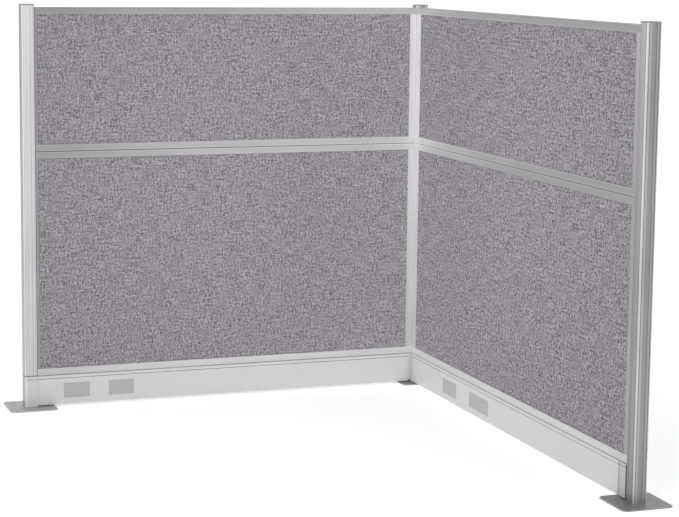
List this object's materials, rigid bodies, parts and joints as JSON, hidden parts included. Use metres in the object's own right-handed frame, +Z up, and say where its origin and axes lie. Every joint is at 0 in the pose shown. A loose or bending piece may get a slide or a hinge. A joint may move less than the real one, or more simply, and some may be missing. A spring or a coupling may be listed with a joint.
{
  "type": "cubicle workstation",
  "caption": "L-shaped cubicle partition: fabric-faced panels in metal frames between slotted posts on floor plates, with a raceway and outlet plates along the floor.",
  "frame": {"origin": "on the floor under the corner post's axis", "axes": "+Z up, left run along -X, right run along -Y, workstation on the -X and -Y side"},
  "size_m": [1.752, 2.057, 1.524],
  "materials": {
    "post": "satin anodised",
    "slot_strip": "satin anodised",
    "post_cap": "moulded grey",
    "frame": "satin anodised",
    "foot": "brushed",
    "raceway": "satin light grey",
    "spine": "mill",
    "snap_strip": "extruded grey",
    "outlet_plate": "moulded grey",
    "filler": "moulded grey",
    "socket": "moulded light grey",
    "seal": "matt black",
    "screw": "zinc plated",
    "fabric": "heathered grey woven",
    "core": "honeycomb board"
  },
  "bodies": {
    "partition": {"corner_fillers": "filler", "foot_corner": "foot", "foot_left": "foot", "foot_right": "foot", "frame_seals": "seal", "left_lower_back_tile": "fabric", "left_lower_bottom_rail": "frame", "left_lower_core": "core", "left_lower_corner_stile": "frame", "left_lower_end_stile": "frame", "left_lower_front_tile": "fabric", "left_lower_top_rail": "frame", "left_post_cover_back": "raceway", "left_post_cover_front": "raceway", "left_raceway_spine": "spine", "left_upper_back_tile": "fabric", "left_upper_bottom_rail": "frame", "left_upper_core": "core", "left_upper_corner_stile": "frame", "left_upper_end_stile": "frame", "left_upper_front_tile": "fabric", "left_upper_top_rail": "frame", "post_cap_corner": "post_cap", "post_cap_left": "post_cap", "post_cap_right": "post_cap", "post_corner": "post", "post_left": "post", "post_right": "post", "post_screws": "screw", "right_end_piece_back": "raceway", "right_end_piece_front": "raceway", "right_lower_back_tile": "fabric", "right_lower_bottom_rail": "frame", "right_lower_core": "core", "right_lower_corner_stile": "frame", "right_lower_end_stile": "frame", "right_lower_front_tile": "fabric", "right_lower_top_rail": "frame", "right_raceway_spine": "spine", "right_upper_back_tile": "fabric", "right_upper_bottom_rail": "frame", "right_upper_core": "core", "right_upper_corner_stile": "frame", "right_upper_end_stile": "frame", "right_upper_front_tile": "fabric", "right_upper_top_rail": "frame", "slot_strips_corner": "slot_strip", "slot_strips_left": "slot_strip", "slot_strips_right": "slot_strip", "socket_blocks": "socket"},
    "left_front_cover": {"left_front_cover": "raceway", "left_front_cover_strips": "snap_strip"},
    "left_back_cover": {"left_back_cover": "raceway", "left_back_cover_strips": "snap_strip"},
    "right_front_cover": {"right_front_cover": "raceway", "right_front_cover_strips": "snap_strip"},
    "right_back_cover": {"right_back_cover": "raceway", "right_back_cover_strips": "snap_strip"},
    "left_outlet_plate_1": {"left_outlet_plate_1": "outlet_plate"},
    "left_outlet_plate_2": {"left_outlet_plate_2": "outlet_plate"},
    "right_outlet_plate_1": {"right_outlet_plate_1": "outlet_plate"},
    "right_outlet_plate_2": {"right_outlet_plate_2": "outlet_plate"}
  },
  "joints": [
    {"name": "left_front_cover_pull", "type": "slide", "parent": "partition", "child": "left_front_cover", "axis": [0, -1, 0], "range_m": [0, 0.011]},
    {"name": "left_back_cover_pull", "type": "slide", "parent": "partition", "child": "left_back_cover", "axis": [0, 1, 0], "range_m": [0, 0.011]},
    {"name": "right_front_cover_pull", "type": "slide", "parent": "partition", "child": "right_front_cover", "axis": [-1, 0, 0], "range_m": [0, 0.011]},
    {"name": "right_back_cover_pull", "type": "slide", "parent": "partition", "child": "right_back_cover", "axis": [1, 0, 0], "range_m": [0, 0.011]},
    {"name": "left_outlet_plate_1_pull", "type": "slide", "parent": "left_front_cover", "child": "left_outlet_plate_1", "axis": [0, -1, 0], "range_m": [0, 0.008]},
    {"name": "left_outlet_plate_2_pull", "type": "slide", "parent": "left_front_cover", "child": "left_outlet_plate_2", "axis": [0, -1, 0], "range_m": [0, 0.008]},
    {"name": "right_outlet_plate_1_pull", "type": "slide", "parent": "right_front_cover", "child": "right_outlet_plate_1", "axis": [-1, 0, 0], "range_m": [0, 0.008]},
    {"name": "right_outlet_plate_2_pull", "type": "slide", "parent": "right_front_cover", "child": "right_outlet_plate_2", "axis": [-1, 0, 0], "range_m": [0, 0.008]}
  ]
}
